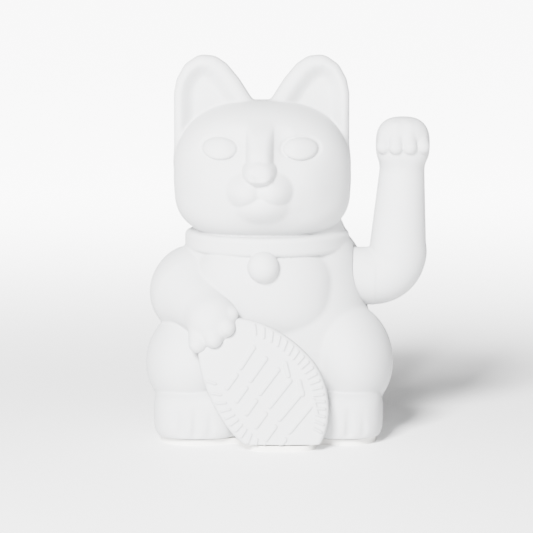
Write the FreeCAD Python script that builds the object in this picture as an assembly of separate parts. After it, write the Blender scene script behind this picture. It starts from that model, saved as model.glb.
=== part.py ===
"""Beckoning cat figurine with a battery-driven waving arm, in millimetres.

The cat sits facing -Y with its left (waving) arm on +X and the table at Z = 0.
Two moulded casings meet on the plane Y = 0 and stand on a base plate.  Inside, a
shaft along X carries the hollow arm at one end and a magnet pendulum in the
middle; a coil on a small board under the magnet keeps the pendulum swinging.
"""

import FreeCAD, Part
import math
import os
from FreeCAD import Vector

# ---------------------------------------------------------------- driving sizes
HEIGHT = 150.0            # table to ear tips
WALL = 2.0                # moulded wall of the casings
PLATE = 2.2               # base plate thickness
PLATE_INSET = 0.8         # the plate stands back from the casings
FOOT = 2.8                # lower edge of the casings, above a shadow gap

AXIS_Z = 62.2             # height of the waving axis, which lies on Y = 0
SHAFT_R = 1.5
RUNNING = 0.05            # radial clearance of the shaft in its bushes
SNUG = 0.02               # radial clearance of parts glued or pressed together

DRUM_R = 11.4             # shoulder end of the arm, a round drum on the waving axis
DRUM_X = 33.2
POCKET_R = 12.1           # recess in the casings round that drum
POCKET_X = 32.6
BEND_X = 40.7             # where the elbow starts to turn up
BEND_R = 11.9             # centreline radius of the elbow
ARM_R = 11.1              # upper arm and elbow
WRIST_R = 9.0
WRIST_Z = 103.0
ARM_WALL = 1.5
ARM_RAYS = 24
PAW = ((107.0, 9.4, 9.3, 0.4), (111.0, 10.6, 9.9, 1.1), (115.0, 10.9, 9.9, 1.7), (119.0, 10.3, 9.2, 2.1),
       (122.5, 8.4, 7.4, 2.3), (124.8, 5.6, 5.0, 2.4), (126.0, 2.6, 2.4, 2.4))   # height, halves, lean

CELL_R = 7.1              # AA cell
CELL_X = (-23.9, 25.3)
CELL_Y = 16.0
CELL_Z = 10.2
BAY_X = 26.8              # battery bay, half length inside
DOOR_X = 28.4             # battery door, half width
DOOR_Y = 7.4              # its front edge

SWING_X = 14.0            # the pendulum swings in this plane
CHEEKS = ((2.3, 4.5), (23.5, 25.7))
BOARD_TOP = 7.6
COIL_TOP = 16.6
MAGNET_LOW = 19.5

CASE_SCREWS = ((-34.0, -20.0), (34.0, -20.0), (-33.5, 4.2), (33.5, 4.2))
FRAME_SCREWS = ((0.1, -6.5), (0.1, 4.5), (27.9, -6.5), (27.9, 4.5))
BOARD_SCREWS = ((7.6, -23.6), (20.4, -23.6))
SEAM_PEGS = ((-32.6, 104.5), (29.0, 104.5), (-42.4, 33.0), (44.4, 33.0), (-1.8, 127.0))

X = Vector(1, 0, 0)
Y = Vector(0, 1, 0)
Z = Vector(0, 0, 1)


# ---------------------------------------------------------------- helpers
def rod(radius, start, end):
    """Round rod between two points."""
    a, b = Vector(*start), Vector(*end)
    return Part.makeCylinder(radius, (b - a).Length, a, b - a)


def tube(outer, inner, start, end):
    """Round tube between two points."""
    return rod(outer, start, end).cut(rod(inner, start, end))


def box(x, y, z):
    """Box from three (low, high) pairs."""
    size = [hi - lo for lo, hi in (x, y, z)]
    return Part.makeBox(*size, Vector(x[0], y[0], z[0]))


def prism(outline, x):
    """A (y, z) outline extruded along X between a (low, high) pair."""
    points = [Vector(x[0], y, z) for y, z in outline]
    face = Part.Face(Part.makePolygon(points + points[:1]))
    return face.extrude(Vector(x[1] - x[0], 0, 0))


def fused(shapes):
    """One solid from overlapping ones."""
    first, *rest = shapes
    return first.fuse(rest).removeSplitter() if rest else first


def half(shape, y):
    """The part of a single solid between two (low, high) values of Y."""
    return max(shape.common(box((-90, 90), y, (0, 200))).Solids, key=lambda solid: solid.Volume)


def save(name, shape):
    """Write one piece to parts/."""
    shape.exportStep("parts/" + name + ".step")


# ---------------------------------------------------------------- the figure
class Form:
    """A rounded body: an ellipsoid, or squarer as its two powers grow.

    half is its reach to the positive sides of its own axes, and other, where it
    differs, its reach to the negative sides.
    """

    def __init__(self, centre, half, turns=(), plan_power=2.0, edge_power=2.0, other=None):
        self.centre = centre
        self.half = half
        self.other = other or half
        self.plan_power = plan_power
        self.edge_power = edge_power
        spin = FreeCAD.Rotation()
        for axis, degrees in turns:
            spin = FreeCAD.Rotation(axis, degrees).multiply(spin)
        back = spin.inverted()
        self.rows = [tuple(back.multVec(v)) for v in (X, Y, Z)]

    def holds(self, x, y, z, inset):
        """Whether the point lies in the body drawn in by inset."""
        dx, dy, dz = x - self.centre[0], y - self.centre[1], z - self.centre[2]
        shares = []
        for a, b, c, ahead, behind in zip(*self.rows, self.half, self.other):
            along = dx * a + dy * b + dz * c
            shares.append(abs(along) / ((ahead if along > 0 else behind) - inset))
        if max(shares) > 1:
            return False
        u, v, w = shares
        m, k = self.plan_power, self.edge_power
        return (u ** m + v ** m) ** (k / m) + w ** k <= 1


class Stack:
    """Oval sections stacked through (half width, z) points."""

    def __init__(self, centre, depth_share, power, outline):
        self.centre = centre
        self.depth_share = depth_share
        self.power = power
        self.outline = outline

    def holds(self, x, y, z, inset):
        """Whether the point lies in the body drawn in by inset."""
        for (r0, z0), (r1, z1) in zip(self.outline, self.outline[1:]):
            if z0 <= z <= z1:
                full = r0 + (r1 - r0) * (z - z0) / (z1 - z0)
                u = abs(x - self.centre[0]) / (full - inset)
                v = abs(y - self.centre[1]) / (full * self.depth_share - inset)
                return u ** self.power + v ** self.power <= 1
        return False


FORMS = [
    # seated body, head and jowls, collar, chest
    Stack((0.8, 3.0), 0.77, 2.6,
          [(40.0, FOOT), (42.0, 12), (43.0, 24), (42.6, 36), (40.6, 45), (38.6, 51), (37.6, 55),
           (36.0, 63), (34.7, 70), (33.0, 75), (30.0, 80), (28.0, 84)]),
    Form((-1.8, -1.0, 104.5), (34.8, 31.0, 27.4), (), 2.3, 2.35),
    Form((-1.8, -1.0, 98.0), (34.6, 31.0, 20.8), (), 2.3, 2.7),
    Stack((0.0, 0.2), 0.95, 2.0, [(30.4, 72.6), (31.6, 73.6), (32.3, 77.4), (31.7, 80.2), (29.8, 82.2)]),
    Form((-1.2, -9.5, 58.0), (28.5, 22.5, 22.5), (), 2.4, 2.6),
    # thighs and feet
    Form((-29.6, -8.5, 30.0), (18.0, 24.0, 20.6), [(Y, 8)]),
    Form((31.6, -8.5, 31.0), (18.0, 24.0, 21.8), [(Y, -8)]),
    Form((-27.2, -14.0, 10.5), (17.2, 20.4, 10.7), (), 2.8, 4.0),
    Form((30.0, -14.0, 10.5), (15.4, 20.4, 10.7), (), 2.8, 4.0),
    # coin, leaning against the belly
    Form((-1.2, -35.8, 18.7), (24.2, 36.4, 6.0), [(Z, 37), (X, 81)], 1.84, 8.0, (17.5, 28.2, 6.0)),
    # fairing behind the waving arm, and the tail
    Form((29.5, 14.0, 59.0), (10.6, 15.0, 19.0), [(Y, -8)]),
    Form((10.0, 36.0, 17.0), (16.0, 6.4, 7.4), [(Y, 28)]),
    # the arm that holds the coin: shoulder, forearm, paw
    Form((-31.2, -3.0, 57.5), (14.4, 18.0, 17.2), [(Y, 12)]),
    Form((-25.0, -23.0, 52.0), (10.0, 10.0, 17.0), [(Y, -36), (X, 48)]),
    Form((-17.5, -33.0, 45.5), (10.2, 7.6, 10.8), [(Y, -32)]),
]
CORE_Y = 1.0              # sections are measured outward from the line X = 0, Y = CORE_Y
RAYS = 56
LEVELS = [FOOT, 6, 10, 14, 18, 21, 24, 28, 32, 36, 40, 44, 48, 52, 56, 60, 64, 68, 71, 73,
          75, 78, 80.5, 82.5, 85, 89, 94, 100, 106, 112, 118, 123, 127, 129.5]
CROWN = 131.4


def outline_radius(turn, z, inset):
    """Distance from the core line to the skin in one direction."""
    across, deep = math.cos(turn), math.sin(turn)

    def inside(r):
        return any(form.holds(r * across, CORE_Y + r * deep, z, inset) for form in FORMS)

    radius = 58.0
    while radius > 3.0 and not inside(radius):
        radius -= 1.5
    low, high = radius, radius + 1.5
    for _ in range(7):
        middle = (low + high) / 2
        if inside(middle):
            low = middle
        else:
            high = middle
    return low


def section(z, inset, height=None):
    """Closed smooth outline of the figure at z, placed at the given height."""
    turns = [2 * math.pi * i / RAYS for i in range(RAYS)]
    radii = [outline_radius(turn, z, inset) for turn in turns]
    level = z if height is None else height
    points = []
    for i, turn in enumerate(turns):
        soft = (radii[i - 1] + 2 * radii[i] + radii[(i + 1) % RAYS]) / 4
        points.append(Vector(soft * math.cos(turn), CORE_Y + soft * math.sin(turn), level))
    curve = Part.BSplineCurve()
    knots = [float(i) for i in range(RAYS + 1)]
    curve.interpolate(Points=points, PeriodicFlag=True, Parameters=knots)
    return Part.Wire([curve.toShape()])


def body(inset):
    """The whole cat without ears and waving arm, drawn in by inset."""
    top = CROWN - inset
    wires = [section(z, inset) for z in LEVELS + [CROWN - inset] if z <= top and not top - 1.2 < z < top]
    if inset:
        wires.insert(0, section(FOOT, inset, FOOT - 1.0))
    return Part.makeLoft(wires, True, False)


def slab(inset, low, high):
    """The figure's outline at its foot as a flat plate."""
    return Part.Face(section(FOOT, inset, low)).extrude(Vector(0, 0, high - low))


def ear(side, inset):
    """One ear: a rounded upright leaf with a hollowed front.  side is -1 or +1."""
    def at(out, z):
        return Vector(-1.8 + side * out, 0, z)

    inner = Part.Arc(at(4.0, 120.0), at(8.8, 140.6), at(17.0, 149.0)).toShape()
    tip = Part.Arc(at(17.0, 149.0), at(21.2, HEIGHT), at(25.4, 148.8)).toShape()
    outer = Part.Arc(at(25.4, 148.8), at(32.2, 139.4), at(33.6, 120.0)).toShape()
    root = Part.makeLine(at(33.6, 120.0), at(4.0, 120.0))
    wire = Part.Wire([inner, tip, outer, root])
    if inset:
        wire = wire.makeOffset2D(-inset)
    front, back = -5.5 + inset, 6.5 - inset
    wire.translate(Vector(0, front, 0))
    leaf = Part.Face(wire).extrude(Vector(0, back - front, 0))
    if inset:
        return leaf.cut(Part.makeSphere(32.0, Vector(-1.8 + side * 21.0, -35.0, 137.0)))
    scoop = Part.makeSphere(30.0, Vector(-1.8 + side * 21.0, -33.0, 137.0))
    edges = [e for e in leaf.Edges if e.BoundBox.ZMin > 119.9 and e.BoundBox.ZLength > 1]
    rims = [e for e in edges if e.BoundBox.YLength < 0.1]
    return leaf.makeFillet(3.2, rims).cut(scoop)


def bell():
    """Plain round bell, moulded on."""
    return Part.makeSphere(6.1, Vector(-1.4, -30.8, 69.8))


def casing_posts():
    """Screw posts and seam bosses inside the casings, and the walls of the arm recess."""
    posts = [rod(3.3, (x, y, FOOT - 2), (x, y, 20.0)) for x, y in CASE_SCREWS]
    for x, y in CASE_SCREWS:
        reach = x + math.copysign(14.0, x)
        low, high = sorted((x, reach))
        posts.append(box((low, high), (y - 0.8, y + 0.8), (6.0, 19.0)))
    posts += [rod(3.2, (x, -7.0, z), (x, 7.0, z)) for x, z in SEAM_PEGS]
    recess = rod(POCKET_R + WALL, (POCKET_X - WALL, 0, AXIS_Z), (60, 0, AXIS_Z))
    return posts + [recess]


def casings():
    """Front and back casing."""
    outer = body(0).fuse([ear(-1, 0), ear(1, 0), bell()])
    hollow = body(WALL).fuse([ear(-1, WALL), ear(1, WALL)])
    hollow = hollow.cut(casing_posts())
    cuts = [hollow]
    cuts.append(rod(POCKET_R, (POCKET_X, 0, AXIS_Z), (70, 0, AXIS_Z)))
    cuts.append(rod(4.6, (POCKET_X - 5, 0, AXIS_Z), (POCKET_X + 5, 0, AXIS_Z)))
    cuts += [rod(1.3, (x, y, FOOT - 1), (x, y, 16.0)) for x, y in CASE_SCREWS]
    whole = outer.cut(cuts)
    front, back = half(whole, (-90, 0)), half(whole, (0, 90))
    front = front.cut([rod(1.15, (x, -5.0, z), (x, 1, z)) for x, z in SEAM_PEGS])
    back = back.fuse([rod(1.05, (x, -4.5, z), (x, 3, z)) for x, z in SEAM_PEGS])
    return front, back


# ---------------------------------------------------------------- base and battery
SWITCH = (-24.0, -14.0)   # centre of the slide switch
SWITCH_TRAVEL = 3.0


def base_plate():
    """Base plate with battery bay, locating rim, bosses and the door's grooves."""
    parts = [slab(PLATE_INSET, 0, PLATE)]
    x, y = SWITCH
    gaps = [rod(4.4, (x, y, 0), (x, y, 9)) for x, y in CASE_SCREWS]
    gaps.append(box((-DOOR_X - 1.4, DOOR_X + 1.4), (DOOR_Y, 60), (0, 10)))
    gaps.append(box((x - 12, x + 12), (y - 6, y + 6), (0, 10)))
    rim = slab(WALL + 1.4, PLATE - 1, PLATE + 3).cut(slab(WALL + 2.6, PLATE - 2, PLATE + 4))
    parts.append(rim.cut(gaps))
    bay = box((-BAY_X - 1.2, BAY_X + 1.2), (7.6, 24.4), (1.0, 13.0))
    parts.append(bay)
    parts += [box(side, (DOOR_Y, 23.0), (1.0, 3.4)) for side in ((-30.2, -27.0), (27.0, 30.2))]
    parts += [rod(3.6, (x, y, 1), (x, y, FOOT)) for x, y in CASE_SCREWS]
    parts += [box(x, (-9.6, 7.2), (1.0, 5.0)) for x in ((-1.9, 4.5), (23.5, 29.9))]
    parts += [rod(2.0, (x, y, 1), (x, y, 6.0)) for x, y in BOARD_SCREWS + ((7.6, 5.0), (20.4, 5.0))]
    whole = fused(parts)
    cuts = [box((-BAY_X, BAY_X), (8.8, 23.2), (-1, 20))]
    cuts.append(box((-DOOR_X, DOOR_X), (DOOR_Y, 60), (-1, 2.05)))
    cuts.append(box((-29.4, 29.4), (DOOR_Y, 60), (0.85, 2.05)))
    cuts += [rod(3.0, (x, y, -1), (x, y, 1.4)) for x, y in CASE_SCREWS]
    cuts += [rod(1.7, (x, y, -1), (x, y, 5)) for x, y in CASE_SCREWS]
    cuts += [rod(1.05, (x, y, 1.0), (x, y, 9)) for x, y in FRAME_SCREWS + BOARD_SCREWS]
    x, y = SWITCH
    cuts.append(box((x - 2.9, x + 3.1), (y - 1.2, y + 1.2), (-1, 4)))
    cuts.append(box((x - 4.2, x + 4.4), (y - 2.4, y + 2.4), (-1, 1.0)))
    cuts += [rod(1.05, (x + dx, y, -1), (x + dx, y, 4)) for dx in (-8.6, 8.6)]
    return whole.cut(cuts)


def battery_door():
    """Flat door that slides out at the back, its tongues in the plate's grooves."""
    panel = box((-DOOR_X + 0.2, DOOR_X - 0.2), (DOOR_Y + 0.2, 60), (0.3, 1.95))
    tongues = box((-29.2, 29.2), (DOOR_Y + 0.2, 60), (0.95, 1.95))
    door = fused([panel, tongues]).common(slab(PLATE_INSET + 0.4, 0, PLATE))
    grips = [box((-9, 9), (y, y + 1.0), (0, 0.7)) for y in (26.0, 28.0, 30.0)]
    return door.cut(grips)


def battery_cell():
    """AA cell with its positive button at +X."""
    can = rod(CELL_R, (CELL_X[0], CELL_Y, CELL_Z), (CELL_X[1], CELL_Y, CELL_Z))
    can = can.makeFillet(0.6, [e for e in can.Edges if e.Closed and e.Length < 46])
    button = rod(2.7, (CELL_X[1] - 1, CELL_Y, CELL_Z), (CELL_X[1] + 1.0, CELL_Y, CELL_Z))
    return fused([can, button])


def positive_contact():
    """Flat contact plate with a solder tab."""
    x = CELL_X[1] + 1.02
    plate = box((x, x + 0.4), (CELL_Y - 4, CELL_Y + 4), (5.0, 14.5))
    tab = box((x, x + 0.4), (CELL_Y - 1.2, CELL_Y + 1.2), (14.0, 17.0))
    return fused([plate, tab])


def negative_spring():
    """Coiled contact spring standing on a plate with a solder tab."""
    x = -BAY_X + 0.05
    plate = box((x, x + 0.4), (CELL_Y - 4, CELL_Y + 4), (5.0, 14.5))
    tab = box((x, x + 0.4), (CELL_Y - 1.2, CELL_Y + 1.2), (14.0, 17.0))
    rings = []
    for i, radius in enumerate((3.9, 3.3, 2.7)):
        centre = Vector(x + 0.75 + 0.72 * i, CELL_Y, CELL_Z)
        rings.append(Part.makeTorus(radius, 0.4, centre, X))
    links = [rod(0.4, (x + 0.7, CELL_Y, CELL_Z + 3.9), (x + 2.3, CELL_Y, CELL_Z + 2.6))]
    return fused([plate, tab] + rings + links)


def switch_housing():
    """Body of the slide switch."""
    x, y = SWITCH
    case = box((x - 6.6, x + 6.6), (y - 3.6, y + 3.6), (PLATE, 7.8))
    ears = box((x - 10.4, x + 10.4), (y - 2.0, y + 2.0), (PLATE, 3.4))
    room = box((x - 4.2, x + 4.2), (y - 2.6, y + 2.6), (PLATE - 1, 4.9))
    holes = [rod(1.05, (x + dx, y, 0), (x + dx, y, 9)) for dx in (-8.6, 8.6)]
    return fused([case, ears]).cut([room] + holes)


def switch_knob():
    """Sliding knob reached through the base plate."""
    x, y = SWITCH
    shoe = box((x - 4.0, x + 1.0), (y - 2.4, y + 2.4), (2.5, 4.7))
    stem = box((x - 2.7, x - 0.1), (y - 1.0, y + 1.0), (0.5, 3.0))
    return fused([shoe, stem])


def switch_terminals():
    """Two solder pins on the switch."""
    x, y = SWITCH
    return [box((x + dx - 0.5, x + dx + 0.5), (y - 0.25, y + 0.25), (7.8, 10.2)) for dx in (-3.5, 3.5)]


# ---------------------------------------------------------------- drive
def pivot_frame():
    """Two cheeks that carry the shaft, joined by the bars of the swing stops."""
    outline = [(-9.6, 5.0), (7.2, 5.0), (7.2, 20.0), (14.0, 41.0), (14.0, 48.5), (5.4, 66.0),
               (2.6, 68.0), (-2.6, 68.0), (-5.4, 66.0), (-14.0, 48.5), (-14.0, 41.0), (-9.6, 20.0)]
    window = [(-6.2, 19.0), (4.2, 19.0), (10.2, 40.0), (10.2, 46.0), (4.0, 55.0), (-4.0, 55.0),
              (-10.2, 46.0), (-10.2, 40.0)]
    parts = []
    for x, foot in zip(CHEEKS, ((-1.9, 4.5), (23.5, 29.9))):
        parts.append(prism(outline, x).cut(prism(window, x)))
        parts.append(box(foot, (-9.6, 7.2), (5.0, 7.4)))
    for y in ((-14.0, -12.0), (12.0, 14.0)):
        parts.append(box((2.3, 25.7), y, (41.5, 48.5)))
    cuts = [rod(3.0 + SNUG, (x[0] - 1, 0, AXIS_Z), (x[1] + 1, 0, AXIS_Z)) for x in CHEEKS]
    cuts += [rod(1.2, (x, y, 4), (x, y, 9)) for x, y in FRAME_SCREWS]
    return fused(parts).cut(cuts)


def shaft_bushes():
    """Flanged bushes pressed into the cheeks."""
    bushes = []
    for (low, high), flange in zip(CHEEKS, ((4.52, 5.3), (22.7, 23.48))):
        barrel = rod(3.0, (low, 0, AXIS_Z), (high, 0, AXIS_Z))
        lip = rod(4.0, (flange[0], 0, AXIS_Z), (flange[1], 0, AXIS_Z))
        neck = rod(3.0, (min(low, flange[0]), 0, AXIS_Z), (max(high, flange[1]), 0, AXIS_Z))
        bore = rod(SHAFT_R + RUNNING, (0, 0, AXIS_Z), (30, 0, AXIS_Z))
        bushes.append(fused([barrel, lip, neck]).cut(bore))
    return bushes


def shaft(radius, flat):
    """Steel shaft with a flat where the arm grips it."""
    bar = rod(radius, (0.6, 0, AXIS_Z), (46.0, 0, AXIS_Z))
    return bar.cut(box((34.4, 50), (-5, 5), (AXIS_Z + flat, AXIS_Z + 5)))


def shaft_clip():
    """Open ring that keeps the shaft in place."""
    ring = tube(3.2, SHAFT_R + SNUG, (1.3, 0, AXIS_Z), (1.9, 0, AXIS_Z))
    return ring.cut(box((0, 3), (-1.0, 1.0), (AXIS_Z - 5, AXIS_Z)))


def stop_pads():
    """Felt pads that end the swing on either side."""
    return [box((10.5, 17.5), y, (43.0, 47.0)) for y in ((-11.98, -10.4), (10.4, 11.98))]


def pendulum_lever(offset):
    """Hub, arm and cup of the pendulum.  The cup sits offset along Y to balance the arm."""
    hub = rod(3.6, (5.5, 0, AXIS_Z), (22.5, 0, AXIS_Z))
    bar = box((12.5, 15.5), (-3.0, 3.0), (31.0, AXIS_Z))
    cup = rod(7.2, (SWING_X, offset, MAGNET_LOW + 0.6), (SWING_X, offset, 33.6))
    room = rod(6.0 + SNUG, (SWING_X, offset, 0), (SWING_X, offset, MAGNET_LOW + 12.0 + SNUG))
    return fused([hub, bar, cup]).cut([room, rod(SHAFT_R + SNUG, (0, 0, AXIS_Z), (30, 0, AXIS_Z))])


def pendulum_disc(offset, low, high):
    """A round disc in the pendulum's cup."""
    return rod(6.0, (SWING_X, offset, low), (SWING_X, offset, high))


def circuit_board():
    """Small board that carries the coil."""
    board = box((5.6, 22.4), (-26.4, 7.2), (6.0, BOARD_TOP))
    return board.cut([rod(1.2, (x, y, 0), (x, y, 9)) for x, y in BOARD_SCREWS])


def coil_bobbin():
    """Flanged former of the coil."""
    low = rod(7.2, (SWING_X, 0, BOARD_TOP), (SWING_X, 0, BOARD_TOP + 0.8))
    high = rod(7.2, (SWING_X, 0, COIL_TOP - 0.8), (SWING_X, 0, COIL_TOP))
    neck = rod(2.8, (SWING_X, 0, BOARD_TOP), (SWING_X, 0, COIL_TOP))
    return fused([low, high, neck]).cut(rod(2.0 + SNUG, (SWING_X, 0, 0), (SWING_X, 0, 30)))


def drive_coil():
    """Copper winding."""
    return tube(6.7, 2.8 + SNUG, (SWING_X, 0, BOARD_TOP + 0.82), (SWING_X, 0, COIL_TOP - 0.82))


def transistor():
    """Half-round transistor on three legs."""
    x, y = 9.6, -12.6
    head = rod(2.3, (x, y, 9.4), (x, y, 14.0)).cut(box((x - 3, x + 3), (y + 1.3, y + 4), (9, 15)))
    legs = [box((x + d - 0.22, x + d + 0.22), (y - 0.22, y + 0.22), (BOARD_TOP, 10)) for d in (-1.27, 0, 1.27)]
    return fused([head] + legs)


def capacitor():
    """Small round capacitor standing on the board."""
    can = rod(2.5, (18.6, -12.6, BOARD_TOP), (18.6, -12.6, 14.6))
    return can.makeFillet(0.4, [e for e in can.Edges if e.Closed and e.BoundBox.ZMin > 10])


def resistors():
    """Two resistors on bent legs."""
    pieces = []
    for y in (-17.6, -21.4):
        belly = rod(1.1, (11.0, y, 9.2), (17.0, y, 9.2))
        wire = rod(0.3, (9.4, y, 9.2), (18.6, y, 9.2))
        legs = [rod(0.3, (x, y, BOARD_TOP), (x, y, 9.2)) for x in (9.4, 18.6)]
        pieces.append(fused([belly, wire] + legs + [Part.makeSphere(0.3, Vector(x, y, 9.2)) for x in (9.4, 18.6)]))
    return pieces


def lead(points, radius=0.6):
    """Insulated wire through the given points, with rounded corners."""
    parts = [rod(radius, a, b) for a, b in zip(points, points[1:])]
    parts += [Part.makeSphere(radius, Vector(*p)) for p in points[1:-1]]
    return fused(parts)


def screw(x, y, head_low, tip, radius=1.0, head_radius=1.9):
    """Pan-head screw along Z; the head stands away from the tip."""
    up = 1 if head_low > tip else -1
    head_high = head_low + up * 1.3
    shank = rod(radius, (x, y, tip), (x, y, head_low + up * 0.3))
    head = rod(head_radius, (x, y, head_low), (x, y, head_high))
    low, high = sorted((head_high - up * 0.7, head_high + up * 1.0))
    slots = [box((x - 0.25, x + 0.25), (y - 1.2, y + 1.2), (low, high)),
             box((x - 1.2, x + 1.2), (y - 0.25, y + 0.25), (low, high))]
    return fused([shank, head]).cut(slots)


# ---------------------------------------------------------------- waving arm
def ring(centre, tilt, half_width, half_depth):
    """Oval outline across the arm.  tilt is the arm's direction there, from +X up to +Z."""
    along = math.radians(tilt)
    side = Vector(math.sin(along), 0, -math.cos(along))
    turns = [2 * math.pi * i / ARM_RAYS for i in range(ARM_RAYS)]
    points = [centre + side * (half_width * math.cos(t)) + Y * (half_depth * math.sin(t)) for t in turns]
    curve = Part.BSplineCurve()
    knots = [float(i) for i in range(ARM_RAYS + 1)]
    curve.interpolate(Points=points, PeriodicFlag=True, Parameters=knots)
    return Part.Wire([curve.toShape()])


def arm_body(inset):
    """Shoulder drum, elbow, forearm and paw as one smooth body, drawn in by inset."""
    wires = []
    for x in (DRUM_X + inset, DRUM_X + 3.5, BEND_X - 1.5):
        wires.append(ring(Vector(x, 0, AXIS_Z), 0, DRUM_R - inset, DRUM_R - inset))
    for tilt in (15, 30, 45, 60, 75):
        turn = math.radians(tilt)
        centre = Vector(BEND_X + BEND_R * math.sin(turn), 0, AXIS_Z + BEND_R * (1 - math.cos(turn)))
        wires.append(ring(centre, tilt, ARM_R - inset, ARM_R - inset))
    arm_x, low = BEND_X + BEND_R, AXIS_Z + BEND_R
    for z in (low + 1.0, 81.0, 89.0, 97.0, WRIST_Z):
        radius = ARM_R + (WRIST_R - ARM_R) * (z - low) / (WRIST_Z - low) - inset
        wires.append(ring(Vector(arm_x, 0, z), 90, radius, radius))
    for z, half_width, half_depth, forward in PAW:
        if z < PAW[-1][0] - 0.5 or not inset:
            share = (z - WRIST_Z) / (PAW[-1][0] - WRIST_Z)
            centre = Vector(arm_x + 0.5, -forward, z - inset * share)
            wires.append(ring(centre, 90, half_width - inset, half_depth - inset))
    return Part.makeLoft(wires, True, False)


def arm_shells():
    """Front and back half of the hollow arm."""
    pegs = ((52.4, 84.0), (53.0, 112.0))
    bosses = [rod(2.6, (x, -9.0, z), (x, 9.0, z)) for x, z in pegs]
    hollow = arm_body(ARM_WALL).cut(bosses)
    opening = rod(4.2, (DRUM_X - 1, 0, AXIS_Z), (DRUM_X + 3, 0, AXIS_Z))
    whole = arm_body(0).cut([hollow, opening])
    front, back = half(whole, (-60, 0)), half(whole, (0, 60))
    front = front.cut([rod(1.15, (x, -4.5, z), (x, 1, z)) for x, z in pegs])
    back = back.fuse([rod(1.05, (x, -4.0, z), (x, 3, z)) for x, z in pegs])
    return front, back


def arm_socket():
    """Insert that fixes the arm to the shaft's flat."""
    flange = rod(9.7, (34.8, 0, AXIS_Z), (36.8, 0, AXIS_Z))
    hub = rod(4.1, (33.3, 0, AXIS_Z), (45.0, 0, AXIS_Z))
    ribs = [box((36, 42), (-9.0, 9.0), (AXIS_Z - 0.6, AXIS_Z + 0.6))]
    return fused([flange, hub] + ribs).cut(shaft(SHAFT_R + SNUG, 0.9 + SNUG))


def balance_offset(plastic, steel):
    """Where the pendulum's discs must sit along Y for the arm to hang level at rest."""
    moment = sum(density * shape.Volume * shape.CenterOfGravity.y for shape, density in plastic)
    weight = sum(density * shape.Volume for shape, density in steel)
    return -moment / weight


# ---------------------------------------------------------------- build
os.makedirs("parts", exist_ok=True)

arm_front, arm_back = arm_shells()
socket = arm_socket()
magnet = (MAGNET_LOW, MAGNET_LOW + 4.0)
weight = (MAGNET_LOW + 4.01, MAGNET_LOW + 12.0)
cup_share = 0.55          # part of the lever's mass that moves with its cup
light = [(arm_front, 1.1), (arm_back, 1.1), (socket, 1.1)]
discs = [(pendulum_disc(0, *magnet), 7.85), (pendulum_disc(0, *weight), 7.85)]
cup = [(pendulum_lever(0), 1.1 * cup_share)]
offset = balance_offset(light, discs + cup)

save("arm_front_shell", arm_front)
save("arm_back_shell", arm_back)
save("arm_socket", socket)
save("arm_shaft", shaft(SHAFT_R, 0.9))
save("shaft_clip", shaft_clip())
save("pendulum_lever", pendulum_lever(offset))
save("pendulum_magnet", pendulum_disc(offset, *magnet))
save("counterweight", pendulum_disc(offset, *weight))

front_shell, back_shell = casings()
save("front_shell", front_shell)
save("back_shell", back_shell)
save("base_plate", base_plate())
save("battery_door", battery_door())
save("battery_cell", battery_cell())
save("positive_contact", positive_contact())
save("negative_spring", negative_spring())
save("switch_housing", switch_housing())
save("switch_knob", switch_knob())
save("switch_terminals", Part.makeCompound(switch_terminals()))

save("pivot_frame", pivot_frame())
save("shaft_bushes", Part.makeCompound(shaft_bushes()))
save("stop_pads", Part.makeCompound(stop_pads()))
save("circuit_board", circuit_board())
save("coil_bobbin", coil_bobbin())
save("coil_core", rod(2.0, (SWING_X, 0, BOARD_TOP), (SWING_X, 0, COIL_TOP)))
save("drive_coil", drive_coil())
save("transistor", transistor())
save("capacitor", capacitor())
save("resistors", Part.makeCompound(resistors()))

save("red_lead", lead([(26.5, 16, 17.7), (28, 12, 18.4), (28, 2, 12), (28, -12, 12),
                       (21, -20.3, 11), (20.3, -20.3, 7.85)]))
save("black_lead", lead([(-26.55, 16, 17.7), (-28, 11, 18.4), (-28.2, 2, 14), (-28.6, -9, 13),
                         (-27.5, -14, 10.85)]))
save("switch_lead", lead([(-20.5, -14, 10.85), (-18, -16, 14), (0, -22, 13), (6.8, -20.3, 10),
                          (7.4, -20.3, 7.85)]))

save("case_screws", Part.makeCompound([screw(x, y, 1.4, 14.0, 1.25, 2.7) for x, y in CASE_SCREWS]))
save("frame_screws", Part.makeCompound([screw(x, y, 7.4, 1.2) for x, y in FRAME_SCREWS]))
save("board_screws", Part.makeCompound([screw(x, y, BOARD_TOP, 1.2) for x, y in BOARD_SCREWS]))
switch_x = [SWITCH[0] + d for d in (-8.6, 8.6)]
save("switch_screws", Part.makeCompound([screw(x, SWITCH[1], 3.4, 0.5) for x in switch_x]))
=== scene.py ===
"""Looks of the beckoning cat figurine: sculpted casings and arm round the CAD frame.

Shapes are written as distance fields in millimetres (negative inside), meshed on a
grid, cut along the same planes and recesses as the CAD casings, and brought to metres.
"""
import math

import bpy
import numpy as np
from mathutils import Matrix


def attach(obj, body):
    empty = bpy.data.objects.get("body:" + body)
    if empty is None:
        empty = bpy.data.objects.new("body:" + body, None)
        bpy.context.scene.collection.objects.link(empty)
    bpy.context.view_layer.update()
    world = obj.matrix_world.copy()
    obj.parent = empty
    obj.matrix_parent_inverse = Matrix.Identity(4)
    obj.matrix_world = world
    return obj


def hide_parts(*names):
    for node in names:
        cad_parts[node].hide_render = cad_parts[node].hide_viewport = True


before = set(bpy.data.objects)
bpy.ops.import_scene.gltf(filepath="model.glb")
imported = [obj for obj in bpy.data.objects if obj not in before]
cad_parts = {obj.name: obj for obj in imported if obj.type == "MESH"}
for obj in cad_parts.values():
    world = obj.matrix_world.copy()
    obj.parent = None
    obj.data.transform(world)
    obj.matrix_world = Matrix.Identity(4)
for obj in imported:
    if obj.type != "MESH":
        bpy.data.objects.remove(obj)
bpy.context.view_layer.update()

import openvdb
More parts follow.
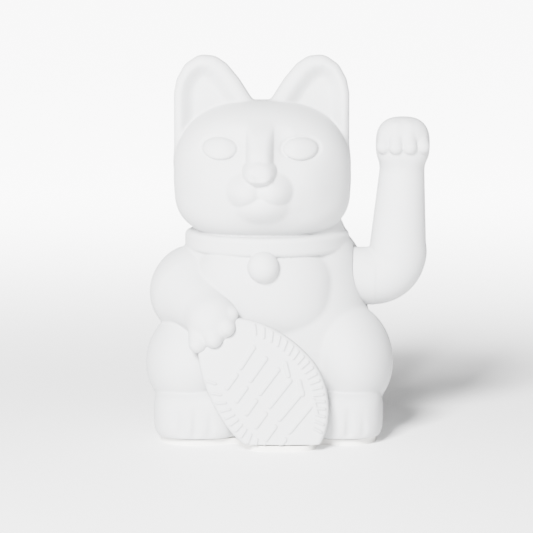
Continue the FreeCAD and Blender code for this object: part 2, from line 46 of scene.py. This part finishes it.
from mathutils import Matrix, Vector

MM = 0.001

# ------------------------------------------------------------------ driving sizes, mm
FOOT = 2.8                     # lower edge of the casings
WALL = 2.0                     # wall of the casings
AXIS_Z = 62.2                  # the arm's shaft, along X in the plane Y = 0
POCKET_X = 32.6                # floor of the recess round the arm's drum
POCKET_R = 12.1
DRUM_X = (33.2, 42.2)          # the drum at the shoulder end of the arm
DRUM_R = 11.4
SHAFT_HOLE_R = 4.6             # in the floor of the recess
ARM_WALL = 1.5
ARM_MOUTH_R = 4.2              # opening in the drum for the arm's insert
SCREW_BORE_R = 1.3
CREASE = 0.9                   # blend radius where two forms meet in a crease
FRONT_STEP = 0.6               # grids the pieces are meshed on
BACK_STEP = 0.85
ARM_STEP = 0.5
COIN_STEP = 0.33
HOLLOW_STEP = 1.6
ARM_HOLLOW_STEP = 1.0

CHEST = (-1.2, -9.5, 58.0)
CHEST_HALF = (28.5, 22.5, 22.5)
BELL = np.float32((-1.4, -30.8, 69.8))
BELL_R = 6.1
HEAD = np.array((-1.8, -1.0, 104.5))
HEAD_HALF = (34.8, 31.0, 27.4)
JOWLS = np.array((-1.8, -1.0, 98.0))
JOWLS_HALF = (34.6, 31.0, 20.8)
HEAD_TURN = math.radians(-2.0)  # the head looks a little to its right


# ------------------------------------------------------------------ field helpers
def smin(a, b, k):
    """Union of two fields with a fillet of about k."""
    h = np.clip(0.5 + 0.5 * (b - a) / k, 0, 1)
    return b + (a - b) * h - k * h * (1 - h)


def smax(a, b, k):
    """Intersection of two fields with a rounding of about k."""
    return -smin(-a, -b, k)


def step(low, high, t):
    """Smooth step from 0 at low to 1 at high."""
    s = np.clip((t - low) / (high - low), 0, 1)
    return s * s * (3 - 2 * s)


def spin(*turns):
    """Rotation made of (axis letter, degrees) turns, as a matrix."""
    total = Matrix.Identity(3)
    for axis, degrees in turns:
        total = Matrix.Rotation(math.radians(degrees), 3, axis) @ total
    return np.array(total, dtype=np.float32)


def local(p, centre, turn=None):
    """Points seen from a form's own centre and axes."""
    q = p - np.asarray(centre, dtype=np.float32)
    return q if turn is None else q @ turn


def ellipsoid(p, centre, half, turn=None):
    """Ellipsoid with the given half sizes."""
    q = local(p, centre, turn)
    half = np.asarray(half, dtype=np.float32)
    k0 = np.linalg.norm(q / half, axis=1)
    k1 = np.linalg.norm(q / half ** 2, axis=1)
    return k0 * (k0 - 1) / np.maximum(k1, 1e-6)


def squarish(p, centre, half, plan, edge):
    """Ellipsoid with fuller corners: plan is the power across, edge the power upward."""
    q = np.abs(local(p, centre)) / np.asarray(half, dtype=np.float32)
    gauge = ((q[:, 0] ** plan + q[:, 1] ** plan) ** (edge / plan) + q[:, 2] ** edge) ** (1 / edge)
    reach = np.linalg.norm(local(p, centre), axis=1)
    return reach * (1 - 1 / np.maximum(gauge, 1e-3))


def cone(p, a, b, ra, rb):
    """Round-ended cone from a to b."""
    a, b = np.asarray(a, dtype=np.float32), np.asarray(b, dtype=np.float32)
    ab = b - a
    t = np.clip((p - a) @ ab / (ab @ ab), 0, 1)
    return np.linalg.norm(p - a - t[:, None] * ab, axis=1) - (ra + (rb - ra) * t)


# ------------------------------------------------------------------ head
EAR_OUTLINE = ((27.4, 108.0), (27.4, 134.0), (26.7, 137.6), (24.9, 140.9), (22.6, 142.5), (20.6, 142.3),
               (18.4, 140.8), (14.5, 136.1), (10.0, 129.0), (7.0, 123.0), (7.0, 108.0))
EAR_ROUND = 7.0
EAR_X = -2.1


def polygon(x, z, outline):
    """Signed distance to a closed outline."""
    best = np.full(x.shape, 1e9, dtype=np.float32)
    sign = np.ones(x.shape, dtype=np.float32)
    for (x0, z0), (x1, z1) in zip(outline, outline[1:] + outline[:1]):
        ex, ez = x1 - x0, z1 - z0
        t = np.clip(((x - x0) * ex + (z - z0) * ez) / (ex * ex + ez * ez), 0, 1)
        best = np.minimum(best, (x - x0 - ex * t) ** 2 + (z - z0 - ez * t) ** 2)
        crosses = (z0 > z) != (z1 > z)
        with np.errstate(divide="ignore", invalid="ignore"):
            at = x0 + (z - z0) * ex / ez if ez else np.full(x.shape, 1e9)
        sign = np.where(crosses & (x < at), -sign, sign)
    return np.sqrt(best) * sign


def ears(p):
    """Both ears: upright leaves with a rim round a hollow front."""
    out = np.abs(p[:, 0] - EAR_X)
    z, y = p[:, 2], p[:, 1]
    edge = polygon(out, z, EAR_OUTLINE) - EAR_ROUND
    hollow = polygon(out - 1.2, z, EAR_OUTLINE) - EAR_ROUND + 3.0
    deep = 4.2 * step(0.2, -6.5, hollow)
    thick = 5.4 - 1.6 * step(125, 148, z)
    front = -thick + 0.2 + deep - y
    back = y - thick - 1.0
    flat = smax(front, back, 1.0)
    rounding = 3.4
    a, b = np.maximum(edge + rounding, 0), np.maximum(flat + rounding, 0)
    return np.hypot(a, b) - rounding + np.minimum(np.maximum(edge, flat) + rounding, 0)


def hump(x, z, at, half, high):
    """A low dome of a height field, negative outside its rim."""
    r2 = ((x - at[0]) / half[0]) ** 2 + ((z - at[1]) / half[1]) ** 2
    return high * (1 - r2)


def bell(t):
    """Smooth bump, 1 at 0 and nothing from 1 outward."""
    s = np.clip(1 - t * t, 0, 1)
    return s * s


def oval(x, z, at, half):
    """Distance from a point in the face's plane, 1 on the oval with those half sizes."""
    return np.hypot((x - at[0]) / half[0], (z - at[1]) / half[1])


def face(x, z):
    """How far the face stands out of the plain skull.  x is measured from the nose."""
    out = np.abs(x)
    high = 1.6 * bell(oval(out, z, (18.0, 101.5), (12.5, 12.5)))      # cheeks
    high -= 1.5 * bell(oval(out, z, (14.0, 115.6), (14.5, 10.0)))     # sockets
    high -= 1.6 * bell(oval(out, z, (8.2, 117.0), (6.0, 8.5)))        # beside the bridge
    # muzzle: two puffs, a ridge between them and a smiling lower lip
    high += 2.6 * bell(oval(x, z, (0.8, 96.5), (19.0, 15.0)))
    puffs = hump(out, z, (5.4, 99.6), (7.5, 7.2), 4.8)
    ridge = hump(x, z, (0.0, 99.6), (3.4, 5.6), 3.0)
    lip = hump(x, z, (1.0, 93.2), (10.4, 6.7), 3.3)
    mouth = smax(smax(puffs, ridge, 0.6), lip, 0.2)
    high = high + smax(mouth, 0 * x, 0.9)
    # nose: a flat-topped bridge and a round tip
    rise = 2.2 * step(127, 120, z) + 2.6 * step(122, 112, z) + 1.4 * step(113, 107, z)
    bridge = rise * (1 - (out / 5.4) ** 4)
    tip = 6.8 * (1 - oval(x, z, (0.0, 107.2), (6.8, 5.2)) ** 4)
    nose = smax(smax(bridge * step(102, 106, z), tip, 0.9), 0 * x, 0.3)
    high = high + nose
    # eyes
    r = oval(out, z, (15.6, 115.3), (6.8, 4.2))
    high = high - 0.6 * bell((r - 1.06) / 0.2)
    return high + 2.6 * np.sqrt(np.clip(1 - r * r, 0, 1))


def skull(p):
    """The head without its features: a skull and fuller jowls."""
    upper = squarish(p, HEAD, HEAD_HALF, 2.3, 2.35)
    lower = squarish(p, JOWLS, JOWLS_HALF, 2.3, 2.7)
    return smin(upper, lower, 1.0)


def head(p):
    """The head with its face, which fades out towards the back."""
    q = local(p, HEAD, spin(("Z", math.degrees(HEAD_TURN))))
    stands = face(q[:, 0], p[:, 2]) * step(-6.0, -17.0, q[:, 1])
    moved = p.copy()
    moved[:, 1] += stands
    return skull(moved)


# ------------------------------------------------------------------ body
TORSO = ((FOOT, 40.0), (12, 42.0), (24, 43.0), (36, 42.6), (45, 40.6), (51, 38.6), (55, 37.6), (63, 36.0),
         (70, 34.6), (75, 33.0), (80, 30.5), (88, 27.0))
COIN = (-1.2, -35.8, 18.7)
COIN_TURN = spin(("Z", 37), ("X", 81))
COIN_HALF = ((17.5, 24.2), (28.2, 36.4))   # reach of its rim: left and right, down and up
COIN_THICK = 6.0
COIN_POWER = 1.84


def torso(p):
    """The trunk: flattened sections through the (height, half width) pairs of TORSO."""
    z = p[:, 2]
    wide = np.interp(z, [h for h, _ in TORSO], [w for _, w in TORSO]).astype(np.float32)
    dx, dy = np.abs(p[:, 0] - 0.8), np.abs(p[:, 1] - 3.0)
    gauge = ((dx / wide) ** 2.6 + (dy / (0.77 * wide)) ** 2.6) ** (1 / 2.6)
    d = np.hypot(dx, dy) * (1 - 1 / np.maximum(gauge, 1e-3))
    return np.maximum(d, z - 86)


def collar(p):
    """Flat band with rounded edges round the neck."""
    dx, dy, dz = p[:, 0], (p[:, 1] - 0.2) / 0.95, p[:, 2] - 77.0
    d = np.abs(np.hypot(dx, dy) - 27.7)
    rounding = 1.9
    a = np.maximum(d - 4.6 + rounding, 0)
    b = np.maximum(np.abs(dz) - 3.7 + rounding, 0)
    return np.hypot(a, b) - rounding


def holding_arm(p):
    """The cat's right arm, its paw on the coin."""
    shoulder = ellipsoid(p, (-31.2, -3.0, 57.5), (14.4, 18.0, 17.2), spin(("Y", 12)))
    arm = cone(p, (-31.0, -12.0, 57.5), (-21.0, -30.5, 50.0), 13.4, 9.2)
    d = smin(shoulder, arm, 6.0)
    d = smin(d, ellipsoid(p, (-20.8, -32.6, 48.6), (9.4, 7.0, 8.4), spin(("Y", 38))), 4.0)
    for x, y, z, r in ((-26.6, -36.4, 40.9, 3.5), (-20.6, -38.0, 43.2, 3.6), (-15.7, -37.6, 47.4, 3.4),
                       (-14.0, -34.8, 52.2, 2.9)):
        back = np.array((x, y, z)) + 0.55 * np.array((-25.5 - x, -27.5 - y, 53.5 - z))
        d = smin(d, cone(p, back, (x, y, z), r + 1.0, r + 0.1), 1.1)
    return d


def thigh(p, side):
    """Folded thigh, -1 for the cat's right and +1 for its left."""
    centre = (-29.6, -8.5, 30.0) if side < 0 else (31.6, -8.5, 31.0)
    half = (18.0, 24.0, 20.6) if side < 0 else (18.0, 24.0, 21.8)
    return ellipsoid(p, centre, half, spin(("Y", -8 * side)))


def foot(p, side):
    """Flat hind foot with three shallow grooves between its toes."""
    centre, wide = ((-27.2, -14.0, 10.5), 17.2) if side < 0 else ((30.0, -14.0, 10.5), 15.4)
    d = squarish(p, centre, (wide, 20.4, 10.7), 2.8, 4.0)
    for x in ((-33.2, -27.6, -21.6) if side < 0 else (26.0, 31.8, 38.0)):
        outward = 0.03 * abs(x)
        high, low = (x, -36.4 + outward, 14.5), (x, -35.6 + outward, 5.0)
        d = smax(d, -cone(p, high, low, 1.2, 1.7), 1.2)
    return d


def plain_figure(p):
    """The whole cat without waving arm, coin and face details."""
    d = smin(torso(p), squarish(p, CHEST, CHEST_HALF, 2.4, 2.6), CREASE)
    fairing = ellipsoid(p, (29.5, 14.0, 59.0), (10.6, 15.0, 19.0), spin(("Y", -8)))
    d = smin(d, fairing, 3.0)
    for side in (-1, 1):
        d = smin(d, thigh(p, side), 1.2)
        d = smin(d, foot(p, side), CREASE)
    d = smin(d, cone(p, (22.0, 31.0, 12.0), (4.0, 35.5, 20.0), 6.4, 5.6), 3.0)      # tail
    d = smin(d, holding_arm(p), 1.0)
    d = smin(d, collar(p), 0.4)
    return d


def figure(p):
    """The front of the cat: figure, head, ears and bell."""
    d = plain_figure(p)
    top = smin(head(p), ears(p), 1.3)
    d = smin(d, top, 0.4)
    return smin(d, np.linalg.norm(p - BELL, axis=1) - BELL_R, 0.4)


def figure_behind(p):
    """The back of the cat."""
    return smin(smin(plain_figure(p), head(p), 0.4), ears(p), 1.3)


# ------------------------------------------------------------------ meshing
def surface(field, low, high, cell):
    """Points and faces of the surface where the field is zero, on a cubic grid."""
    block = 8
    low = np.asarray(low, dtype=np.float32)
    counts = np.ceil((np.asarray(high) - low) / (cell * block)).astype(int)
    reach = cell * block
    centres = np.stack(np.meshgrid(*[np.arange(n) for n in counts], indexing="ij"), -1).reshape(-1, 3)
    middle = field((low + (centres + 0.5) * reach - cell / 2).astype(np.float32))
    near = np.abs(middle) < reach * 1.5
    values = np.where(middle > 0, 3.0, -3.0).astype(np.float32)
    grid = np.broadcast_to(values[:, None], (len(values), block ** 3)).copy()
    inner = np.stack(np.meshgrid(*[np.arange(block)] * 3, indexing="ij"), -1).reshape(-1, 3)
    places = np.flatnonzero(near)
    for part in np.array_split(places, max(1, len(places) // 600)):
        index = centres[part][:, None, :] * block + inner[None]
        points = (low + index.reshape(-1, 3) * cell).astype(np.float32)
        grid[part] = np.clip(field(points), -3, 3).reshape(len(part), -1)
    shape = list(counts) + [block] * 3
    dense = grid.reshape(shape).transpose(0, 3, 1, 4, 2, 5).reshape(counts * block)
    volume = openvdb.FloatGrid(3.0)
    volume.copyFromArray(np.ascontiguousarray(dense, dtype=np.float32))
    points, quads = volume.convertToQuads(0.0)
    return low + points.astype(np.float32) * cell, quads


def settle(points, field, rounds=2, reach=0.02):
    """Moves the points onto the field's zero along its slope."""
    for _ in range(rounds):
        value = field(points)
        slope = np.empty_like(points)
        for axis in range(3):
            shift = np.zeros(3, dtype=np.float32)
            shift[axis] = reach
            slope[:, axis] = (field(points + shift) - field(points - shift)) / (2 * reach)
        size = np.maximum((slope ** 2).sum(1), 0.2)
        move = np.clip(value / size, -0.3, 0.3)
        points = points - move[:, None] * slope
    return points


def raw(name, points, faces):
    """Object from arrays, still in millimetres."""
    mesh = bpy.data.meshes.new(name)
    mesh.from_pydata(points.tolist(), [], faces.tolist())
    mesh.validate()
    made = bpy.data.objects.new(name, mesh)
    bpy.context.collection.objects.link(made)
    return made


def sculpt(name, field, low, high, cell):
    """Object whose surface is the field's zero, with its faces turned outward."""
    points, quads = surface(field, low, high, cell)
    points = settle(points, field)
    a, b, c = points[quads[:, 0]], points[quads[:, 1]], points[quads[:, 2]]
    d = points[quads[:, 3]]
    volume = np.einsum("ij,ij->i", a, np.cross(b, c)).sum()
    volume += np.einsum("ij,ij->i", a, np.cross(c, d)).sum()
    if volume < 0:
        quads = quads[:, ::-1]
    return raw(name, points, quads)


def block(name, low, high):
    """Plain box used as a cutter."""
    x, y, z = zip(low, high)
    points = np.array([(x[i], y[j], z[k]) for i in (0, 1) for j in (0, 1) for k in (0, 1)])
    faces = np.array([(0, 1, 3, 2), (4, 6, 7, 5), (0, 4, 5, 1), (2, 3, 7, 6), (0, 2, 6, 4), (1, 5, 7, 3)])
    return raw(name, points, faces)


def post(name, a, b, radius, sides=48):
    """Round rod used as a cutter."""
    a, b = np.array(a, float), np.array(b, float)
    along = (b - a) / np.linalg.norm(b - a)
    across = np.cross(along, (0.3, 0.5, 0.8))
    across /= np.linalg.norm(across)
    other = np.cross(along, across)
    turns = np.arange(sides) * 2 * math.pi / sides
    ring = radius * (np.cos(turns)[:, None] * across + np.sin(turns)[:, None] * other)
    points = np.concatenate([a + ring, b + ring, [a, b]])
    faces = []
    for i in range(sides):
        j = (i + 1) % sides
        faces += [(i, j, sides + j), (i, sides + j, sides + i)]
        faces += [(2 * sides, j, i), (2 * sides + 1, sides + i, sides + j)]
    return raw(name, points, np.array(faces))


def boolean(base, operation, *others):
    """Applies one boolean after another and keeps the result as a plain mesh."""
    for other in others:
        change = base.modifiers.new("cut", "BOOLEAN")
        change.solver = "MANIFOLD"
        change.operation = operation
        change.object = other
    depsgraph = bpy.context.evaluated_depsgraph_get()
    mesh = bpy.data.meshes.new_from_object(base.evaluated_get(depsgraph))
    base.modifiers.clear()
    old, base.data = base.data, mesh
    bpy.data.meshes.remove(old)
    return base


def drop(*things):
    """Deletes cutters and their meshes."""
    for thing in things:
        mesh = thing.data
        bpy.data.objects.remove(thing)
        bpy.data.meshes.remove(mesh)


def copy(thing, name):
    """Separate object with its own mesh."""
    made = thing.copy()
    made.data = thing.data.copy()
    made.name = name
    bpy.context.collection.objects.link(made)
    return made


def finished(piece, material, sharp):
    """Millimetres to metres, smooth shading, one material."""
    piece.data.transform(Matrix.Scale(MM, 4))
    piece.data.materials.clear()
    piece.data.materials.append(material)
    piece.data.shade_smooth()
    piece.data.set_sharp_from_angle(angle=math.radians(sharp))
    return piece


# ------------------------------------------------------------------ hollow, coin and arm
def head_core(p):
    """The skull kept clear of the deep eye sockets."""
    return skull(p) + 3.0 * step(0.0, -20.0, p[:, 1])


def hollow(p):
    """The room inside the casings."""
    d = smin(plain_figure(p), head_core(p), 1.0)
    return smin(d, ears(p), 1.0) + WALL


def coin_gauge(u, v):
    """How far out on the coin's face, 1 at the rim."""
    (left, right), (down, up) = COIN_HALF
    a = np.abs(u) / np.where(u < 0, left, right)
    b = np.abs(v) / np.where(v < 0, down, up)
    return (a ** COIN_POWER + b ** COIN_POWER) ** (1 / COIN_POWER)


def coin_marks(u, v):
    """Relief of the coin's face: short bars round the rim and two columns of plain bars inside."""
    high = np.zeros_like(u)
    for degrees in list(range(-66, 66, 7)) + list(range(124, 240, 11)):
        a = math.radians(degrees)
        c, d = math.cos(a), math.sin(a)
        reach = 1 / coin_gauge(np.array([c]), np.array([d]))[0]
        start, end = reach - 5.0, reach - 1.7
        high = np.maximum(high, stroke(u, v, (c * start, d * start), (c * end, d * end), 0.45))
    for row in range(6):
        v0 = 17.0 - row * 6.2
        far = 9.0 + 1.2 * min(row, 4)
        high = np.maximum(high, stroke(u, v, (0.5, v0 - 1.5), (far, v0 + 1.6), 0.8))
        high = np.maximum(high, stroke(u, v, (-8.4, v0 - 4.6), (-2.6, v0 - 2.8), 0.8))
    for row in range(3):
        v0 = 4.0 - row * 9.0
        high = np.maximum(high, stroke(u, v, (13.2, v0 - 2.0), (15.2, v0 + 2.6), 0.8))
    return 0.75 * high


def stroke(u, v, a, b, wide):
    """A raised bar with round ends, 1 along its middle and 0 beside it."""
    ex, ey = b[0] - a[0], b[1] - a[1]
    t = np.clip(((u - a[0]) * ex + (v - a[1]) * ey) / (ex * ex + ey * ey), 0, 1)
    away = np.hypot(u - a[0] - t * ex, v - a[1] - t * ey)
    return 1 - step(wide - 0.3, wide + 0.35, away)


def coin(p):
    """Hollow oval coin in front of the figure, open towards it."""
    q = local(p, COIN, COIN_TURN)
    u, v, w = q[:, 0], q[:, 1], q[:, 2]
    gauge = coin_gauge(u, v)
    rim = np.hypot(u, v) * (1 - 1 / np.maximum(gauge, 1e-3))
    front = w - COIN_THICK + 0.8 * np.minimum(gauge, 1.2) ** 4
    d = smax(rim + 0.04 * (w - 2.0), front, 1.6) - coin_marks(u, v) * (w > 0)
    d = np.maximum(d, -w - COIN_THICK)
    inner = np.maximum(np.maximum(rim + WALL, w - 3.2), -w - 9.0)
    d = np.maximum(d, -inner)
    d = smax(d, -plain_figure(p), 0.2)
    return np.maximum(d, FOOT - p[:, 2])


ELBOW = (42.0, 71.8, 9.6)      # centre and radius of the bend
WRIST = (53.1, 103.5)


KNUCKLES = ((45.7, -6.2, 119.4), (50.3, -8.4, 121.2), (55.6, -8.4, 121.2), (60.6, -6.2, 119.2))


def arm(p):
    """The waving arm: drum, elbow, forearm and paw with four knuckles."""
    x, y, z = p[:, 0], p[:, 1], p[:, 2]
    drum = np.hypot(y, z - AXIS_Z) - DRUM_R
    drum = smax(smax(drum, x - DRUM_X[1], 0.1), DRUM_X[0] - x, 1.2)
    cx, cz, bend = ELBOW
    turn = np.clip(np.arctan2(x - cx, cz - z), 0, math.pi / 2)
    nx, nz = cx + bend * np.sin(turn), cz - bend * np.cos(turn)
    d = np.sqrt((x - nx) ** 2 + y ** 2 + (z - nz) ** 2) - 11.35
    d = smin(drum, d, 0.6)
    d = smin(d, cone(p, (cx + bend, 0, cz), (WRIST[0], 0, WRIST[1]), 11.3, 8.9), 0.8)
    paw = squarish(p, (53.3, -1.6, 114.6), (10.6, 9.2, 10.8), 2.3, 2.6)
    d = smin(d, paw, 2.5)
    for x0, y0, high in KNUCKLES:
        top = (53.2 + 0.86 * (x0 - 53.2), y0 + 2.0, high)
        d = smin(d, cone(p, top, (x0, y0 - 1.6, 114.2), 2.9, 3.0), 0.5)
    return d


# ------------------------------------------------------------------ pieces
SEAM_PEGS = ((-32.6, 104.5), (29.0, 104.5), (-42.4, 33.0), (44.4, 33.0), (-1.8, 127.0))
CASE_SCREWS = ((-34.0, -20.0), (34.0, -20.0), (-33.5, 4.2), (33.5, 4.2))
SEAM = 0.04                    # half of the hairline gap between two casings

outer_front = sculpt("front_casing", figure, (-50, -48, -1.5), (52, 1.5, 152), FRONT_STEP)
outer_back = sculpt("back_casing", figure_behind, (-50, -1.5, -1.5), (52, 45, 152), BACK_STEP)
inside = sculpt("inside", hollow, (-50, -46, -3), (52, 44, 150), HOLLOW_STEP)
keep = [post("post", (x, y, -4), (x, y, 20), 3.3) for x, y in CASE_SCREWS]
keep += [post("boss", (x, -7, z), (x, 7, z), 3.2) for x, z in SEAM_PEGS]
keep.append(post("recess", (POCKET_X - WALL, 0, AXIS_Z), (60, 0, AXIS_Z), POCKET_R + WALL, 96))
boolean(inside, "DIFFERENCE", *keep)
bores = [post("pocket", (POCKET_X, 0, AXIS_Z), (70, 0, AXIS_Z), POCKET_R, 128)]
bores.append(post("shaft_hole", (POCKET_X - 5, 0, AXIS_Z), (POCKET_X + 5, 0, AXIS_Z), SHAFT_HOLE_R))
bores += [post("bore", (x, y, 0), (x, y, 16), SCREW_BORE_R) for x, y in CASE_SCREWS]
ahead = block("ahead", (-90, -90, FOOT), (90, -SEAM, 200))
behind = block("behind", (-90, SEAM, FOOT), (90, 90, 200))
for outer, side in ((outer_front, ahead), (outer_back, behind)):
    boolean(outer, "INTERSECT", side)
    boolean(outer, "DIFFERENCE", inside, *bores)
drop(inside, ahead, behind, *keep, *bores)
coin_piece = sculpt("coin", coin, (-30, -46, 0), (28, -24, 55), COIN_STEP)

arm_front = sculpt("arm_front", arm, (31, -15, 48), (66, 13, 128), ARM_STEP)
arm_hollow = sculpt("arm_hollow", lambda p: arm(p) + ARM_WALL, (31, -15, 48), (66, 13, 128),
                    ARM_HOLLOW_STEP)
bosses = [post("boss", (x, -9, z), (x, 9, z), 2.6) for x, z in ((52.4, 84.0), (53.0, 112.0))]
boolean(arm_hollow, "DIFFERENCE", *bosses)
mouth = post("mouth", (32.2, 0, AXIS_Z), (36.2, 0, AXIS_Z), ARM_MOUTH_R)
boolean(arm_front, "DIFFERENCE", arm_hollow, mouth)
arm_back = copy(arm_front, "arm_back")
ahead = block("ahead", (0, -60, 0), (90, -SEAM, 200))
behind = block("behind", (0, SEAM, 0), (90, 60, 200))
boolean(arm_front, "INTERSECT", ahead)
boolean(arm_back, "INTERSECT", behind)
drop(ahead, behind, arm_hollow, mouth, *bosses)


# ------------------------------------------------------------------ materials
def shader(name, colour, rough, metal=0.0, vary=0.06, size=900.0, bump=0.0, bands=None,
           specular=0.5):
    """Finish whose colour and roughness wander a little.  size and bands are per metre."""
    made = bpy.data.materials.new(name)
    made.use_nodes = True
    tree = made.node_tree
    finish = tree.nodes["Principled BSDF"]
    where = tree.nodes.new("ShaderNodeTexCoord")
    noise = tree.nodes.new("ShaderNodeTexNoise")
    noise.inputs["Scale"].default_value = size
    noise.inputs["Detail"].default_value = 3.0
    tree.links.new(where.outputs["Object"], noise.inputs["Vector"])
    fac = noise.outputs["Fac"]
    if bands:
        axis, per_metre, distort = bands
        wave = tree.nodes.new("ShaderNodeTexWave")
        wave.bands_direction = axis
        wave.inputs["Scale"].default_value = per_metre
        wave.inputs["Distortion"].default_value = distort
        tree.links.new(where.outputs["Object"], wave.inputs["Vector"])
        fac = wave.outputs["Fac"]
    tint = tree.nodes.new("ShaderNodeValToRGB")
    for stop, share in zip(tint.color_ramp.elements, (1 - vary, 1 + vary)):
        stop.color = [min(1.0, c * share) for c in colour] + [1.0]
    tint.color_ramp.elements[0].position = 0.35
    tint.color_ramp.elements[1].position = 0.65
    tree.links.new(fac, tint.inputs["Fac"])
    tree.links.new(tint.outputs["Color"], finish.inputs["Base Color"])
    gloss = tree.nodes.new("ShaderNodeMapRange")
    gloss.inputs["To Min"].default_value = max(0.0, rough - 0.06)
    gloss.inputs["To Max"].default_value = min(1.0, rough + 0.06)
    tree.links.new(noise.outputs["Fac"], gloss.inputs["Value"])
    tree.links.new(gloss.outputs["Result"], finish.inputs["Roughness"])
    finish.inputs["Metallic"].default_value = metal
    finish.inputs["Specular IOR Level"].default_value = specular
    if bump:
        relief = tree.nodes.new("ShaderNodeBump")
        relief.inputs["Strength"].default_value = 1.0
        relief.inputs["Distance"].default_value = bump
        tree.links.new(fac, relief.inputs["Height"])
        tree.links.new(relief.outputs["Normal"], finish.inputs["Normal"])
    return made


casing_white = shader("casing_white", (0.55, 0.555, 0.56), 0.75, vary=0.006, size=120.0, specular=0.15)
FINISHES = {
    "inner_plastic": shader("inner_plastic", (0.70, 0.69, 0.65), 0.5, vary=0.03, size=300.0),
    "black_plastic": shader("black_plastic", (0.02, 0.02, 0.022), 0.4, vary=0.15, size=500.0),
    "steel": shader("steel", (0.62, 0.62, 0.63), 0.28, 1.0, vary=0.08, size=1500.0),
    "bronze": shader("bronze", (0.58, 0.38, 0.18), 0.35, 1.0, vary=0.12, size=900.0),
    "copper": shader("copper", (0.75, 0.32, 0.16), 0.3, 1.0, vary=0.3, bump=0.0002, bands=("Z", 700.0, 0.3)),
    "magnet": shader("magnet", (0.45, 0.45, 0.47), 0.22, 1.0, vary=0.08, size=700.0),
    "board": shader("board", (0.03, 0.22, 0.08), 0.35, vary=0.4, bands=("DIAGONAL", 160.0, 4.0)),
    "resistor": shader("resistor", (0.55, 0.42, 0.26), 0.4, vary=0.45, bands=("X", 260.0, 0.0)),
    "can": shader("can", (0.05, 0.07, 0.20), 0.35, vary=0.5, bands=("X", 60.0, 0.0)),
    "cell": shader("cell", (0.10, 0.13, 0.16), 0.3, 0.4, vary=0.8, bands=("X", 12.0, 0.0)),
    "felt": shader("felt", (0.10, 0.10, 0.11), 0.95, vary=0.5, size=2500.0, bump=0.0004),
    "red_wire": shader("red_wire", (0.55, 0.02, 0.02), 0.4, vary=0.1, size=600.0),
    "black_wire": shader("black_wire", (0.015, 0.015, 0.017), 0.4, vary=0.2, size=600.0),
    "base_white": shader("base_white", (0.80, 0.785, 0.75), 0.45, vary=0.015, size=160.0),
    "casing_white": casing_white,
}
for name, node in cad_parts.items():
    for slot in node.material_slots:
        slot.material = FINISHES[slot.material.name.split(".")[0]]

for piece, body, slot in ((outer_front, "case", "front_shell"), (outer_back, "case", "back_shell"),
                          (coin_piece, "case", "front_shell"), (arm_front, "swing", "arm_front_shell"),
                          (arm_back, "swing", "arm_back_shell")):
    finished(piece, casing_white, 65)
    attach(piece, body)
    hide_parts(slot)

# ------------------------------------------------------------------ floor, light and camera
def panel(name, place, target, width, height, watts):
    """Soft rectangular light aimed at a point."""
    light = bpy.data.lights.new(name, "AREA")
    light.shape = "RECTANGLE"
    light.size, light.size_y, light.energy = width, height, watts
    lamp = bpy.data.objects.new(name, light)
    bpy.context.collection.objects.link(lamp)
    lamp.location = place
    lamp.rotation_euler = (Vector(target) - Vector(place)).to_track_quat("-Z", "Y").to_euler()


floor_mesh = bpy.data.meshes.new("floor")
floor_mesh.from_pydata([(-6, -6, 0), (6, -6, 0), (6, 6, 0), (-6, 6, 0)], [], [(0, 1, 2, 3)])
floor = bpy.data.objects.new("floor", floor_mesh)
bpy.context.collection.objects.link(floor)
# pale paper made to glow, painted light standing in for a lit backdrop: faint next to the figure, where it
# leaves a painted shade, and strong further off
glowing_paper = shader("floor", (0.94, 0.94, 0.94), 0.6, vary=0.004, size=3.0)
tree = glowing_paper.node_tree
away = tree.nodes.new("ShaderNodeVectorMath")
away.operation = "DISTANCE"
away.inputs[1].default_value = (0.0, -0.45, 0.0)
# painted light: the glow rises from 0.3 next to the figure to 9 further off
glow_ramp = tree.nodes.new("ShaderNodeMapRange")
glow_ramp.interpolation_type = "SMOOTHSTEP"
glow_ramp.inputs["From Min"].default_value = 0.5
glow_ramp.inputs["From Max"].default_value = 1.3
glow_ramp.inputs["To Min"].default_value = 0.3
glow_ramp.inputs["To Max"].default_value = 9.0
tree.links.new(tree.nodes["Texture Coordinate"].outputs["Object"], away.inputs[0])
tree.links.new(away.outputs["Value"], glow_ramp.inputs["Value"])
tree.links.new(glow_ramp.outputs["Result"], tree.nodes["Principled BSDF"].inputs["Emission Strength"])
tree.nodes["Principled BSDF"].inputs["Emission Color"].default_value = (1.0, 1.0, 1.0, 1.0)
floor_mesh.materials.append(glowing_paper)

world = bpy.data.worlds.new("studio")
bpy.context.scene.world = world
world.use_nodes = True
world.node_tree.nodes["Background"].inputs["Color"].default_value = (1.0, 1.0, 1.0, 1.0)
world.node_tree.nodes["Background"].inputs["Strength"].default_value = 0.05
middle = (0.0, 0.0, 0.07)
panel("key", (-0.40, -1.12, 0.82), middle, 0.40, 0.40, 140.0)
panel("fill", (0.30, -1.3, 0.30), middle, 0.5, 0.5, 4.0)

camera_data = bpy.data.cameras.new("camera")
camera_data.lens = 205.0
camera_data.sensor_width = 36.0
camera = bpy.data.objects.new("camera", camera_data)
bpy.context.collection.objects.link(camera)
aim = Vector((-0.0002, 0.0, 0.0658))
tilt = math.radians(8.0)
camera.location = aim + 1.2 * Vector((0.0, -math.cos(tilt), math.sin(tilt)))
camera.rotation_euler = (aim - camera.location).to_track_quat("-Z", "Y").to_euler()
bpy.context.scene.camera = camera
